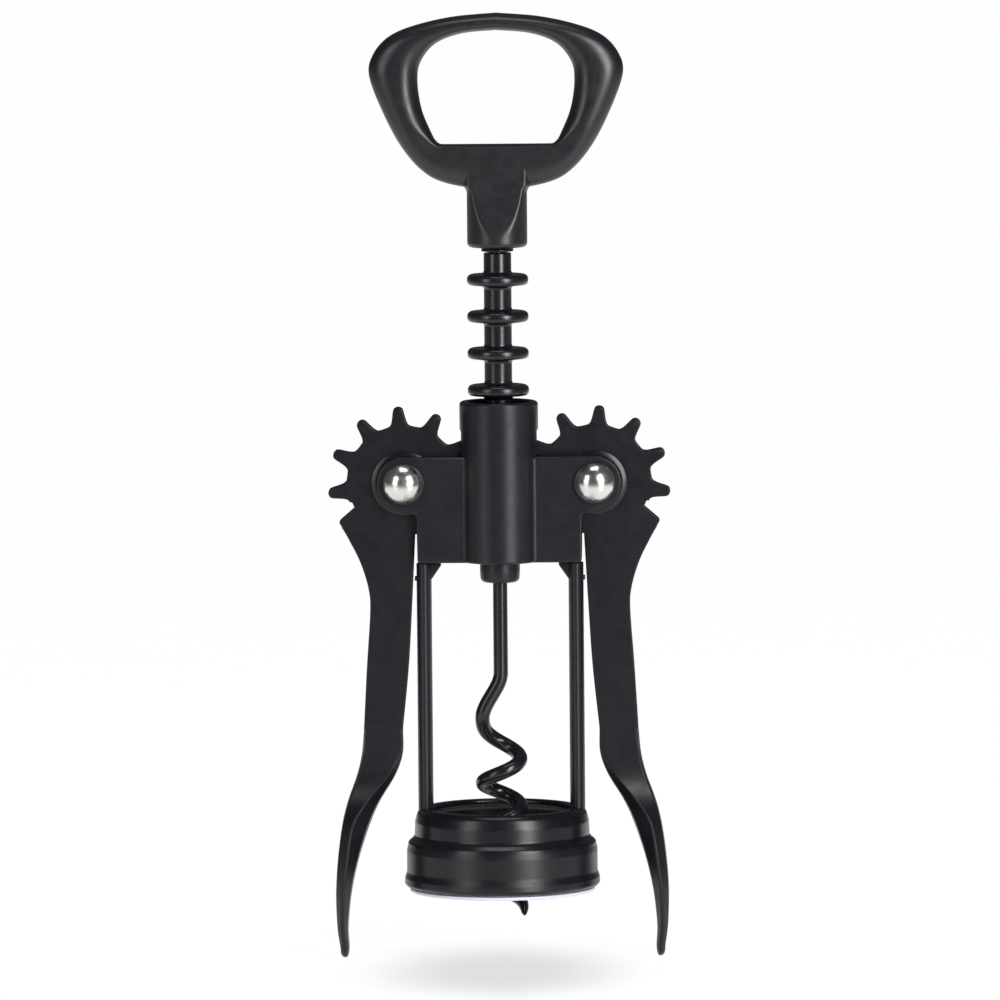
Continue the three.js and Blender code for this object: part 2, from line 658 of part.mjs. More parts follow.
// A piece of the right-hand side, and its mirror image on the left.
function addPair(name, body, look) {
  add(`right_${name}`, body, look);
  add(`left_${name}`, mirroredX(body), look);
}

add('head_casting', headCasting(), black);
add('bell', bell(), black);
add('bell_liner', bellLiner(), palePlastic);
add('rack', rack(), black);
add('handle', handle(), black);
add('thrust_washer', thrustWasher(), black);
add('worm', worm(), glossBlack);
add('worm_ferrule', wormFerrule(), black);
addPair('post', rightPost(), black);
addPair('lever', rightLever(), black);
addPair('front_washer', hubWasher(1), black);
addPair('rear_washer', hubWasher(-1), black);
addPair('pivot_rivet', pivotRivet(), polished);
addPair('rivet_cap', rivetCap(), polished);

export default corkscrew;
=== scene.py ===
import json
import math

import bmesh
import bpy
from mathutils import Matrix, Vector
from mathutils.geometry import tessellate_polygon


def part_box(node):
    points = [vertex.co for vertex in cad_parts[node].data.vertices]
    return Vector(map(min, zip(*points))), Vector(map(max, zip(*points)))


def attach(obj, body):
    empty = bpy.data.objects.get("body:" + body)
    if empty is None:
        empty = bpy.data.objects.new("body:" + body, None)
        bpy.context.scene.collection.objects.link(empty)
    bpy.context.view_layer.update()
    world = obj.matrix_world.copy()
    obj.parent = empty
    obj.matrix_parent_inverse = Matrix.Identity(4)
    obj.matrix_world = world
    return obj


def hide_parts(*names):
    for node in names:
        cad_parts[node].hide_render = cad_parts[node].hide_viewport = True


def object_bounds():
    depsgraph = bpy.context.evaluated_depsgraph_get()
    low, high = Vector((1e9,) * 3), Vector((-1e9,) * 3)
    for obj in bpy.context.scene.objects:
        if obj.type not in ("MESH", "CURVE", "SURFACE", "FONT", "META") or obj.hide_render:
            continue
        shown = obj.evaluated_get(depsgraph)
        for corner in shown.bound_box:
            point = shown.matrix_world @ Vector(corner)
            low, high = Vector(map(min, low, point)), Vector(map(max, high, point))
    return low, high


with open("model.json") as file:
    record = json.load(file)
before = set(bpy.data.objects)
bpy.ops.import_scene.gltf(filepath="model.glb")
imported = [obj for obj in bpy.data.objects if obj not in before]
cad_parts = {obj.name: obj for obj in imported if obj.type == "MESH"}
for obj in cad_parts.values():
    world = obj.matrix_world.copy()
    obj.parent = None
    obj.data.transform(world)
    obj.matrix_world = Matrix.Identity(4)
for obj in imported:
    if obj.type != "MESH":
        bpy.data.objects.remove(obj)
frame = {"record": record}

CAD_BOUNDS = [list(corner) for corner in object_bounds()]
MM = 0.001


def box_mm(node):
    low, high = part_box(node)
    return low / MM, high / MM


# ---- Places, from the CAD nodes' boxes and the record's joints ----

JOINTS = {joint["name"]: joint for joint in frame["record"]["behaviour"]["joints"]}
PIVOT_X, _, PIVOT_Z = [value / MM for value in JOINTS["right_lever_pivot"]["pos_m"]]
HEAD_LOW, HEAD_HIGH = box_mm("head_casting")
BELL_LOW, BELL_HIGH = box_mm("bell")
LINER_LOW, LINER_HIGH = box_mm("bell_liner")
RACK_LOW, RACK_HIGH = box_mm("rack")
HANDLE_LOW, HANDLE_HIGH = box_mm("handle")
THRUST_LOW, THRUST_HIGH = box_mm("thrust_washer")
WORM_LOW, WORM_HIGH = box_mm("worm")
FERRULE_LOW, FERRULE_HIGH = box_mm("worm_ferrule")
POST_HIGH = box_mm("right_post")[1]
WASHER_LOW, WASHER_HIGH = box_mm("right_front_washer")
RIVET_LOW, RIVET_HIGH = box_mm("right_pivot_rivet")
CAP_LOW, CAP_HIGH = box_mm("right_rivet_cap")

# ---- Sizes that the boxes don't give, as in the CAD source ----

BORE_GAP = 0.3
WIRE_RADIUS = 1.4
WORM_BORE = WIRE_RADIUS + BORE_GAP
RACK_PITCH = 7.08
RING_THICKNESS = 2.15
STEM_RADIUS = 2.65
GEAR_PITCH_RADIUS = 12.95
GEAR_TIP_RADIUS = 14.6
GEAR_ROOT_RADIUS = 10.6
GEAR_SWEEP = 190
GEAR_TEETH = math.floor(math.radians(GEAR_SWEEP) * GEAR_PITCH_RADIUS / RACK_PITCH) + 1
LEVER_HALF = 1.3
CHEEK_INNER = 2.1
CHEEK_OUTER = 3.7
KNEE_HEIGHT = 38
SHANK_RADIUS = 2
COLLAR_RADIUS = HANDLE_HIGH.y
COLLAR_LENGTH = 10.9
OPENER_EDGE = 19.8
LOOP_HALF_THICKNESS = 3.4
WEB_HALF_THICKNESS = 2.8

# ---- Geometry helpers ----


def arc(cx, cz, radius, start, end, steps):
    """Points on an arc, from one angle to another, in degrees."""
    return [(cx + radius * math.cos(math.radians(start + (end - start) * i / steps)),
             cz + radius * math.sin(math.radians(start + (end - start) * i / steps)))
            for i in range(steps + 1)]


def rounded(corners, closed=True, steps=5):
    """A polyline through (x, z, radius) corners, with an arc of a fixed number of steps at each radius."""
    out = []
    count = len(corners)
    for i, (x, z, radius) in enumerate(corners):
        here = Vector((x, z))
        if radius == 0 or (not closed and i in (0, count - 1)):
            out.append((x, z))
            continue
        before = Vector(corners[i - 1][:2]) - here
        after = Vector(corners[(i + 1) % count][:2]) - here
        half = before.angle(after) / 2
        reach = min(radius / math.tan(half), 0.49 * before.length, 0.49 * after.length)
        radius = reach * math.tan(half)
        middle = here + (before.normalized() + after.normalized()).normalized() * (radius / math.sin(half))
        first = here + before.normalized() * reach - middle
        last = here + after.normalized() * reach - middle
        start = math.atan2(first.y, first.x)
        sweep = (math.atan2(last.y, last.x) - start + math.pi) % (2 * math.pi) - math.pi
        out += [(middle.x + radius * math.cos(start + sweep * k / steps),
                 middle.y + radius * math.sin(start + sweep * k / steps)) for k in range(steps + 1)]
    return out


def smooth(points, per_span):
    """A Catmull-Rom curve through rows of numbers, with a number of steps in each span."""
    out = []
    last = len(points) - 1
    for i in range(last):
        p0, p1, p2, p3 = (points[max(i - 1, 0)], points[i], points[i + 1], points[min(i + 2, last)])
        for k in range(per_span):
            t = k / per_span
            out.append(tuple(0.5 * (2 * b + (c - a) * t + (2 * a - 5 * b + 4 * c - d) * t * t
                                    + (3 * b - a - 3 * c + d) * t ** 3)
                             for a, b, c, d in zip(p0, p1, p2, p3)))
    return out + [tuple(points[-1])]


def inset(outline, distance):
    """The outline moved inwards. It runs anticlockwise in the plane of its two coordinates."""
    out = []
    count = len(outline)
    for i in range(count):
        a, b, c = (Vector(outline[(i + k) % count]) for k in (-1, 0, 1))
        e1, e2 = (b - a).normalized(), (c - b).normalized()
        n1, n2 = Vector((-e1.y, e1.x)), Vector((-e2.y, e2.x))
        shift = (n1 + n2) / max(1 + n1.dot(n2), 0.35)
        out.append(tuple(b + shift * distance))
    return out


def anticlockwise(outline):
    area = sum(a[0] * b[1] - b[0] * a[1] for a, b in zip(outline, outline[1:] + outline[:1]))
    return list(outline) if area > 0 else list(reversed(outline))


COLLECTION = bpy.context.scene.collection


def add_piece(name, part, body, material, nodes=None, sharp=38):
    """Makes a piece from a (verts, faces) in millimetres, ties it to its body, gives it its finish, and
    hides the CAD nodes that it stands for.
    """
    verts, faces = part
    mesh = bpy.data.meshes.new(name)
    mesh.from_pydata([(x * MM, y * MM, z * MM) for x, y, z in verts], [], faces)
    bm = bmesh.new()
    bm.from_mesh(mesh)
    bmesh.ops.remove_doubles(bm, verts=bm.verts, dist=2e-7)
    bmesh.ops.dissolve_degenerate(bm, edges=bm.edges, dist=1e-7)
    bmesh.ops.recalc_face_normals(bm, faces=bm.faces)
    bm.to_mesh(mesh)
    bm.free()
    mesh.polygons.foreach_set("use_smooth", [True] * len(mesh.polygons))
    mesh.set_sharp_from_angle(angle=math.radians(sharp))
    piece = bpy.data.objects.new(name, mesh)
    COLLECTION.objects.link(piece)
    weighted = piece.modifiers.new("normals", "WEIGHTED_NORMAL")
    weighted.keep_sharp = True
    mesh.materials.append(material)
    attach(piece, body)
    for node in nodes or [name]:
        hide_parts(node)
    return piece


def turned(profile, segments, place=lambda r, a, h: (r * math.cos(a), r * math.sin(a), h), closed=True):
    """(verts, faces) of a profile of (radius, height) turned about an axis."""
    verts, faces, rings = [], [], []
    for radius, height in profile:
        if radius < 1e-6:
            rings.append([len(verts)] * segments)
            verts.append(place(0, 0, height))
        else:
            rings.append(range(len(verts), len(verts) + segments))
            verts += [place(radius, 2 * math.pi * k / segments, height) for k in range(segments)]
    for i in range(len(rings) if closed else len(rings) - 1):
        a, b = rings[i], rings[(i + 1) % len(rings)]
        for k in range(segments):
            face = [a[k], a[(k + 1) % segments], b[(k + 1) % segments], b[k]]
            face = [v for j, v in enumerate(face) if v != face[j - 1]]
            if len(face) > 2:
                faces.append(face)
    return verts, faces


def strips(rings, wrap=False, caps=True):
    """(verts, faces) of quads between closed rings of equal length, with a cap at each end."""
    sides = len(rings[0])
    verts = [point for ring in rings for point in ring]
    faces = []
    for i in range(len(rings) if wrap else len(rings) - 1):
        a, b = i * sides, (i + 1) % len(rings) * sides
        faces += [[a + k, a + (k + 1) % sides, b + (k + 1) % sides, b + k] for k in range(sides)]
    if caps and not wrap:
        faces += [list(range(sides)), [len(verts) - 1 - k for k in range(sides)]]
    return verts, faces


def plate(outline, y_front, y_back, edge, holes=(), steps=4):
    """(verts, faces) of a flat plate in the XZ plane with rounded edges, and round-edged holes."""
    loops = [anticlockwise(outline)] + [list(reversed(anticlockwise(hole))) for hole in holes]
    verts, faces = [], []
    ends = {-1: [], 1: []}
    for loop in loops:
        rings = []
        turns = [math.pi / 2 * k / steps for k in range(steps + 1)]
        rows = [(y_front, 1, turn) for turn in reversed(turns)] + [(y_back, -1, turn) for turn in turns]
        for y, inwards, turn in rows:
            depth = y + inwards * edge * (1 - math.sin(turn))
            rings.append([(x, depth, z) for x, z in inset(loop, edge * (1 - math.cos(turn)))])
        start = len(verts)
        made, quads = strips(rings, caps=False)
        verts += made
        faces += [[start + v for v in quad] for quad in quads]
        ends[-1].append(list(range(start, start + len(loop))))
        ends[1].append(list(range(len(verts) - len(loop), len(verts))))
    for rows in ends.values():
        order = [v for row in rows for v in row]
        polygons = [[Vector((verts[v][0], verts[v][2], 0)) for v in row] for row in rows]
        faces += [[order[k] for k in triangle] for triangle in tessellate_polygon(polygons)]
    return verts, faces


def both(*parts):
    """Several (verts, faces) as one."""
    verts, faces = [], []
    for made, polygons in parts:
        start = len(verts)
        verts += made
        faces += [[start + v for v in polygon] for polygon in polygons]
    return verts, faces


def flipped(part):
    """The mirror image of a (verts, faces) on the other side of the YZ plane."""
    verts, faces = part
    return [(-x, y, z) for x, y, z in verts], [list(reversed(face)) for face in faces]


# ---- Materials ----


class Nodes:
    """A material's node tree, with short calls to add and link nodes."""

    def __init__(self, name):
        self.material = bpy.data.materials.new(name)
        self.material.use_nodes = True
        self.tree = self.material.node_tree
        self.shader = self.tree.nodes["Principled BSDF"]
        self.place = self.add("ShaderNodeTexCoord").outputs["Object"]

    def add(self, kind, **values):
        node = self.tree.nodes.new(kind)
        for key, value in values.items():
            setattr(node, key, value)
        return node

    def link(self, source, target):
        self.tree.links.new(source, target)

    def noise(self, scale, detail=3.0, rough=0.5, vector=None):
        node = self.add("ShaderNodeTexNoise")
        node.inputs["Scale"].default_value = scale
        node.inputs["Detail"].default_value = detail
        node.inputs["Roughness"].default_value = rough
        self.link(vector or self.place, node.inputs["Vector"])
        return node.outputs["Fac"]

    def stretched(self, scale, turn=(0, 0, 0)):
        node = self.add("ShaderNodeMapping")
        node.inputs["Scale"].default_value = scale
        node.inputs["Rotation"].default_value = turn
        self.link(self.place, node.inputs["Vector"])
        return node.outputs["Vector"]

    def ramp(self, source, stops):
        node = self.add("ShaderNodeValToRGB")
        ends = node.color_ramp.elements
        while len(ends) < len(stops):
            ends.new(0.5)
        for end, (position, colour) in zip(ends, stops):
            end.position = position
            end.color = (*colour, 1) if isinstance(colour, tuple) else (colour, colour, colour, 1)
        self.link(source, node.inputs["Fac"])
        return node.outputs["Color"]

    def mapped(self, source, from_min, from_max, to_min, to_max, curve="LINEAR"):
        node = self.add("ShaderNodeMapRange", interpolation_type=curve)
        node.inputs["From Min"].default_value = from_min
        node.inputs["From Max"].default_value = from_max
        node.inputs["To Min"].default_value = to_min
        node.inputs["To Max"].default_value = to_max
        self.link(source, node.inputs["Value"])
        return node.outputs["Result"]

    def spread(self, source, low, high):
        """A noise's usual range, mapped to a range of values."""
        return self.mapped(source, 0.3, 0.7, low, high)

    def combined(self, operation, *sources):
        node = self.add("ShaderNodeMath", operation=operation)
        for source, socket in zip(sources, node.inputs):
            self.link(source, socket)
        return node.outputs["Value"]

    def axis(self, name):
        node = self.add("ShaderNodeSeparateXYZ")
        self.link(self.place, node.inputs["Vector"])
        return node.outputs[name]

    def rougher_below(self, roughness, height, extra):
        """Adds to the roughness below a height, with a short step between."""
        step = self.mapped(self.axis("Z"), height, height + 0.6 * MM, extra, 0.0)
        return self.combined("ADD", roughness, step)

    def bump(self, height, strength, depth_mm, under=None):
        node = self.add("ShaderNodeBump")
        node.inputs["Strength"].default_value = strength
        node.inputs["Distance"].default_value = depth_mm * MM
        self.link(height, node.inputs["Height"])
        if under:
            self.link(under, node.inputs["Normal"])
        return node.outputs["Normal"]


def coated(name, dark, light, rough, grain, gloss=0.36, scratched=False, duller_below=None):
    """Black-coated metal: a faint mottle, a powdery grain, small lumps, and optionally light scratches."""
    n = Nodes(name)
    shader = n.shader
    mottle = n.noise(160, 5, 0.6)
    n.link(n.ramp(mottle, [(0.3, dark), (0.7, light)]), shader.inputs["Base Color"])
    roughness = n.spread(n.noise(420, 4, 0.6), rough[0], rough[1])
    if duller_below:
        roughness = n.rougher_below(roughness, duller_below * MM, 0.07)
    n.link(roughness, shader.inputs["Roughness"])
    lumps = n.bump(n.noise(700, 2, 0.5), 0.35, 0.012)
    fine = n.bump(n.noise(3600, 3, 0.65), grain, 0.02, lumps)
    if scratched:
        streaks = n.noise(1.0, 2, 0.4, n.stretched((2600, 2600, 26), (0, 0.62, 0)))
        cut = n.ramp(streaks, [(0.2, 0.0), (0.245, 1.0)])
        fine = n.bump(cut, 0.25, 0.012, fine)
    n.link(fine, shader.inputs["Normal"])
    shader.inputs["Specular IOR Level"].default_value = gloss
    return n.material


BLACK = coated("black_coated_metal", (0.0065, 0.0068, 0.0098), (0.0100, 0.0103, 0.0146), (0.32, 0.42), 0.22)
HANDLE_BLACK = coated("black_coated_handle", (0.0055, 0.0057, 0.0081), (0.0080, 0.0083, 0.0117),
                      (0.31, 0.41), 0.20, gloss=0.62)
RACK_BLACK = coated("black_coated_rack", (0.0055, 0.0057, 0.0081), (0.0080, 0.0083, 0.0117),
                    (0.22, 0.29), 0.07, gloss=0.56)
BELL_BLACK = coated("black_coated_bell", (0.0038, 0.0040, 0.0060), (0.0062, 0.0064, 0.0094),
                    (0.24, 0.31), 0.14, gloss=0.40, duller_below=BELL_LOW.z + 7.6)
LEVER_BLACK = coated("black_coated_lever", (0.0050, 0.0052, 0.0076), (0.0076, 0.0079, 0.0112),
                     (0.34, 0.46), 0.30, gloss=0.30, scratched=True)
WORM_BLACK = coated("black_glossy_worm", (0.0060, 0.0060, 0.0085), (0.0100, 0.0100, 0.0140),
                    (0.18, 0.26), 0.02, gloss=0.45)


def polished_steel():
    n = Nodes("polished_steel")
    shader = n.shader
    n.link(n.ramp(n.noise(240, 4, 0.6), [(0.3, (0.68, 0.66, 0.635)), (0.7, (0.82, 0.80, 0.775))]),
           shader.inputs["Base Color"])
    n.link(n.spread(n.noise(900, 4, 0.6), 0.15, 0.27), shader.inputs["Roughness"])
    n.link(n.bump(n.noise(1400, 3, 0.5), 0.12, 0.006), shader.inputs["Normal"])
    shader.inputs["Metallic"].default_value = 1.0
    return n.material


def liner_plastic():
    n = Nodes("pale_plastic")
    shader = n.shader
    n.link(n.ramp(n.noise(120, 3, 0.5), [(0.3, (0.68, 0.67, 0.80)), (0.7, (0.76, 0.75, 0.86))]),
           shader.inputs["Base Color"])
    n.link(n.spread(n.noise(500, 3, 0.5), 0.32, 0.42), shader.inputs["Roughness"])
    n.link(n.bump(n.noise(1500, 2, 0.5), 0.1, 0.01), shader.inputs["Normal"])
    shader.inputs["Subsurface Weight"].default_value = 0.15
    shader.inputs["Subsurface Scale"].default_value = 0.002
    return n.material


STEEL = polished_steel()
PLASTIC = liner_plastic()


def add_pair(name, part, bodies, material, sharp=38):
    add_piece(f"right_{name}", part, bodies[0], material, sharp=sharp)
    add_piece(f"left_{name}", flipped(part), bodies[1], material, sharp=sharp)


# ---- Head casting: slotted barrel, cheek plates with ears, and the fillets between them ----

BARREL_RADIUS = HEAD_HIGH.y
BARREL_BORE = RACK_HIGH.x + BORE_GAP
EAR_RADIUS = HEAD_HIGH.x - PIVOT_X
EAR_TOP = 5.1
NOTCH_INSET = 2.6
NOTCH_DROP = 6.1
CHEEK_TOP = PIVOT_Z + EAR_TOP
CHEEK_EDGE_X = PIVOT_X - NOTCH_INSET
NOTCH_Z = PIVOT_Z - NOTCH_DROP
EAR_START = 79
EAR_END = -74
CHEEK_EDGE_RADIUS = 0.38
BARREL_FILLET = 1.15


def barrel():
    return turned(rounded([
        (BARREL_BORE, HEAD_LOW.z, 0.3), (BARREL_RADIUS, HEAD_LOW.z, 0.45),
        (BARREL_RADIUS, HEAD_HIGH.z, 0.75), (BARREL_BORE, HEAD_HIGH.z, 0.35),
    ], steps=6), 144)


def shank_hole():
    return arc(PIVOT_X, PIVOT_Z, SHANK_RADIUS + BORE_GAP, 0, 345, 23)


def cheek_plates():
    inner_x = BARREL_BORE + 0.2
    outline = [(inner_x, CHEEK_TOP)]
    ear = arc(PIVOT_X, PIVOT_Z, EAR_RADIUS, EAR_START, EAR_END, 44)
    outline += ear
    outline += rounded([
        (*ear[-1], 0),
        (CHEEK_EDGE_X + 0.15, NOTCH_Z, 0.5), (CHEEK_EDGE_X, HEAD_LOW.z, 0.55), (inner_x, HEAD_LOW.z, 0),
    ], closed=False)[1:]
    hole = shank_hole()
    front = plate(outline, -CHEEK_OUTER, -CHEEK_INNER, CHEEK_EDGE_RADIUS, [hole])
    rear = plate(outline, CHEEK_INNER, CHEEK_OUTER, CHEEK_EDGE_RADIUS, [hole])
    return both(front, rear)


def barrel_fillets():
    """The concave fillet where the barrel meets a cheek plate: in front and behind, for one side."""
    reach = BARREL_RADIUS + BARREL_FILLET
    middle_y = CHEEK_OUTER + BARREL_FILLET
    middle_x = math.sqrt(reach * reach - middle_y * middle_y)
    on_barrel = math.atan2(middle_y, middle_x)
    start = math.degrees(on_barrel) + 180
    curve = arc(middle_x, middle_y, BARREL_FILLET, start, 270, 8)
    section = curve + [(middle_x, CHEEK_OUTER - 0.6), (BARREL_BORE + 0.5, CHEEK_OUTER - 0.6)]
    parts = []
    for side in (-1, 1):
        rings = [[(x, side * y, z) for x, y in section]
                 for z in (HEAD_LOW.z + 0.25, CHEEK_TOP - CHEEK_EDGE_RADIUS)]
        parts.append(strips(rings))
    return both(*parts)


def cut_out(piece, part):
    """Cuts a closed (verts, faces) out of a piece."""
    verts, faces = part
    mesh = bpy.data.meshes.new("cutter")
    mesh.from_pydata([(x * MM, y * MM, z * MM) for x, y, z in verts], [], faces)
    bm = bmesh.new()
    bm.from_mesh(mesh)
    bmesh.ops.recalc_face_normals(bm, faces=bm.faces)
    bm.to_mesh(mesh)
    bm.free()
    tool = bpy.data.objects.new("cutter", mesh)
    COLLECTION.objects.link(tool)
    cut = piece.modifiers.new("cut", "BOOLEAN")
    cut.operation = "DIFFERENCE"
    cut.solver = "EXACT"
    cut.object = tool
    piece.modifiers.move(len(piece.modifiers) - 1, 0)
    bpy.context.view_layer.update()
    made = bpy.data.meshes.new_from_object(piece.evaluated_get(bpy.context.evaluated_depsgraph_get()))
    piece.modifiers.remove(cut)
    piece.data = made
    made.set_sharp_from_angle(angle=math.radians(38))
    bpy.data.objects.remove(tool)


def gear_slots():
    """The two slots that the gears turn in."""
    slots = [strips([[(x, y, z) for x, z in
                      arc(side * PIVOT_X, PIVOT_Z, GEAR_TIP_RADIUS + BORE_GAP, 0, 357.5, 143)]
                     for y in (-CHEEK_INNER, CHEEK_INNER)]) for side in (-1, 1)]
    return both(*slots)


head = add_piece("head_barrel", barrel(), "frame", BLACK, ["head_casting"])
cut_out(head, gear_slots())
right_cheeks = both(cheek_plates(), barrel_fillets())
add_piece("head_right_cheeks", right_cheeks, "frame", BLACK, ["head_casting"])
add_piece("head_left_cheeks", flipped(right_cheeks), "frame", BLACK, ["head_casting"])

# ---- Bell and its liner ----

FLARE_OUT = 0.45
STEP_OUT = 1.5
LIP_WIDTH = 3.45
BODY_HEIGHT = 5.3
STEP_HEIGHT = 2.3
BELL_WALL = 1.3
SKIRT_RADIUS = BELL_HIGH.x - FLARE_OUT
BODY_RADIUS = SKIRT_RADIUS - STEP_OUT
MOUTH = BODY_RADIUS - LIP_WIDTH
STEP_TOP = BELL_HIGH.z - BODY_HEIGHT
STEP_LOW = STEP_TOP - STEP_HEIGHT


def bell():
    top, low = BELL_HIGH.z, BELL_LOW.z
    return turned(rounded([
        (MOUTH, top, 0.5),
        (BODY_RADIUS - 0.75, top, 2.3),
        (BODY_RADIUS - 0.1, top - 2.6, 2.5),
        (BODY_RADIUS, STEP_TOP + 0.1, 0.6),
        (BODY_RADIUS + 0.4, STEP_TOP - 0.5, 0.5),
        (SKIRT_RADIUS - 0.3, STEP_TOP - 1.2, 0.7),
        (SKIRT_RADIUS, STEP_LOW - 0.6, 1.6),
        (SKIRT_RADIUS, low + 2.9, 2.0),
        (BELL_HIGH.x - 0.05, low + 1.75, 0.8),
        (BELL_HIGH.x, low + 0.55, 0.6),
        (BELL_HIGH.x - 0.6, low, 0.3),
        (SKIRT_RADIUS - BELL_WALL, low, 0.2),
        (SKIRT_RADIUS - BELL_WALL, STEP_LOW - 0.4, 0.5),
        (BODY_RADIUS - BELL_WALL, STEP_LOW + 1, 0.5),
        (BODY_RADIUS - BELL_WALL, top - BELL_WALL, 1.6),
        (MOUTH, top - BELL_WALL, 0.4),
    ], steps=7), 160)


def bell_liner():
    flange_top = BELL_LOW.z - BORE_GAP
    bore = BODY_RADIUS - BELL_WALL
    tube = SKIRT_RADIUS - BELL_WALL - BORE_GAP
    return turned(rounded([
        (bore, LINER_LOW.z, 0.25), (LINER_HIGH.x, LINER_LOW.z, 0.25), (LINER_HIGH.x, flange_top, 0.2),
        (tube, flange_top, 0.1), (tube, LINER_HIGH.z, 0.4), (bore, LINER_HIGH.z, 0.25),
    ], steps=4), 128)


add_piece("bell", bell(), "frame", BELL_BLACK)
add_piece("bell_liner", bell_liner(), "frame", PLASTIC)

# ---- Posts: an oval bar cut to the bell's shoulder, a gusset under the head, and a lever stop ----

POST_INSET = 3.75
POST_X = PIVOT_X - POST_INSET
POST_HALF_WIDTH = 1.45
POST_HALF_DEPTH = POST_HIGH.y
SHOULDER_RADIUS = 3
FOOT_RISE = 0.12
GUSSET_REACH = 3.3
GUSSET_HEIGHT = 3.4
GUSSET_HALF_THICKNESS = 1
LUG_DROP = 2.4
LUG_HEIGHT = 1.6
LUG_HALF_THICKNESS = 1.2


def foot_height(x, y):
    """The height of the post's foot, on an arc that follows the bell's shoulder."""
    out = math.hypot(x, y) - (BODY_RADIUS - SHOULDER_RADIUS)
    arc_centre_z = BELL_HIGH.z - SHOULDER_RADIUS
    return arc_centre_z + math.sqrt((SHOULDER_RADIUS + FOOT_RISE) ** 2 - max(out, 0) ** 2)


def right_post():
    top = POST_HIGH.z
    ring = [(POST_X + POST_HALF_WIDTH * math.cos(a), POST_HALF_DEPTH * math.sin(a))
            for a in (2 * math.pi * k / 48 for k in range(48))]
    low = [(x, y, foot_height(x, y)) for x, y in ring]
    levels = [[(x, y, foot + (top - foot) * share) for x, y, foot in low] for share in (0, 0.02, 0.5, 1)]
    bar = strips(levels)
    gusset = plate([
        (POST_X, top), (POST_X, top - GUSSET_HEIGHT),
        (POST_X - POST_HALF_WIDTH + 0.1, top - GUSSET_HEIGHT + 0.2),
        (POST_X - GUSSET_REACH, top - 0.4), (POST_X - GUSSET_REACH, top),
    ], -GUSSET_HALF_THICKNESS, GUSSET_HALF_THICKNESS, 0.22)
    reach = POST_HIGH.x
    lug_top = HEAD_LOW.z - LUG_DROP
    lug = plate([
        (POST_X, lug_top), (reach, lug_top - 0.45), (reach, lug_top - 1.15), (POST_X, lug_top - LUG_HEIGHT),
    ], -LUG_HALF_THICKNESS, LUG_HALF_THICKNESS, 0.2)
    return both(bar, gusset, lug)


add_pair("post", right_post(), ("frame", "frame"), BLACK)

# ---- Rack sleeve ----

RING_SPREAD = 0.12
RING_FILLET = 0.75


def rack():
    half = RING_THICKNESS / 2
    low, high = RACK_LOW.z, RACK_HIGH.z
    first = math.ceil((low + half - PIVOT_Z) / RACK_PITCH - 0.5)
    last = math.floor((high - half - PIVOT_Z) / RACK_PITCH - 0.5)
    corners = [(WORM_BORE, low, 0), (STEM_RADIUS, low, 0.2)]
    for k in range(first, last + 1):
        centre = PIVOT_Z + (k + 0.5) * RACK_PITCH
        corners += [(STEM_RADIUS, centre - half - RING_SPREAD, RING_FILLET),
                    (RACK_HIGH.x - 0.02, centre - half + RING_SPREAD, 0.8),
                    (RACK_HIGH.x, centre + half, 0.95), (STEM_RADIUS, centre + half, RING_FILLET)]
    corners += [(STEM_RADIUS, high, 0.2), (WORM_BORE, high, 0)]
    return turned(rounded(corners, steps=6), 112)


add_piece("rack", rack(), "rack", RACK_BLACK)

# ---- Handle: the loop as a ring of rounded sections, and the collar with its planed facets ----

LOOP_BOTTOM = HANDLE_LOW.z + COLLAR_LENGTH
LOOP_HEIGHT = HANDLE_HIGH.z - LOOP_BOTTOM
LOOP_HALF_WIDTH = HANDLE_HIGH.x
OPENING_Z = HANDLE_LOW.z + OPENER_EDGE
OPENING_HALF_WIDTH = 15
OPENING_HEIGHT = 21.8
LOOP_OUTLINE = [
    (0, 1), (0.35, 0.978), (0.66, 0.927), (0.85, 0.865), (0.965, 0.77), (1.0, 0.66),
    (0.918, 0.484), (0.766, 0.267), (0.59, 0.115), (0.39, 0.04), (0, -0.01),
]
OPENING_OUTLINE = [
    (0, 1), (0.433, 0.972), (0.767, 0.885), (0.96, 0.725), (1, 0.55),
    (0.947, 0.303), (0.813, 0.078), (0.77, 0.03),
]
LOOP_CENTRE_ABOVE_COLLAR = 29.8
LOOP_CENTRE_Z = HANDLE_LOW.z + LOOP_CENTRE_ABOVE_COLLAR
LOOP_STEPS = 110
OPENER_CORNER_X = 10.9
WEB_START = 18  # degrees below the level through the loop's centre, where the limbs turn into the web
WEB_SPREAD = 26
OUTER_ROUNDING = 4.7
INNER_ROUNDING = 3.5
OUTER_SHARE = 0.5  # the most of the ring's width that the outer rounding takes
INNER_SHARE = 0.44
OPENER_ROUNDING = 0.55


def ray_length(polyline, angle):
    """How far from the loop's centre a ray meets a polyline."""
    ray = Vector((math.cos(angle), math.sin(angle)))
    best = None
    for a, b in zip(polyline, polyline[1:]):
        start, along = Vector(a), Vector(b) - Vector(a)
        cross = ray.x * along.y - ray.y * along.x
        if abs(cross) < 1e-9:
            continue
        distance = (start.x * along.y - start.y * along.x) / cross
        share = (start.x * ray.y - start.y * ray.x) / cross
        if distance > 0 and -1e-6 <= share <= 1 + 1e-6:
            best = distance if best is None else max(best, distance)
    return best


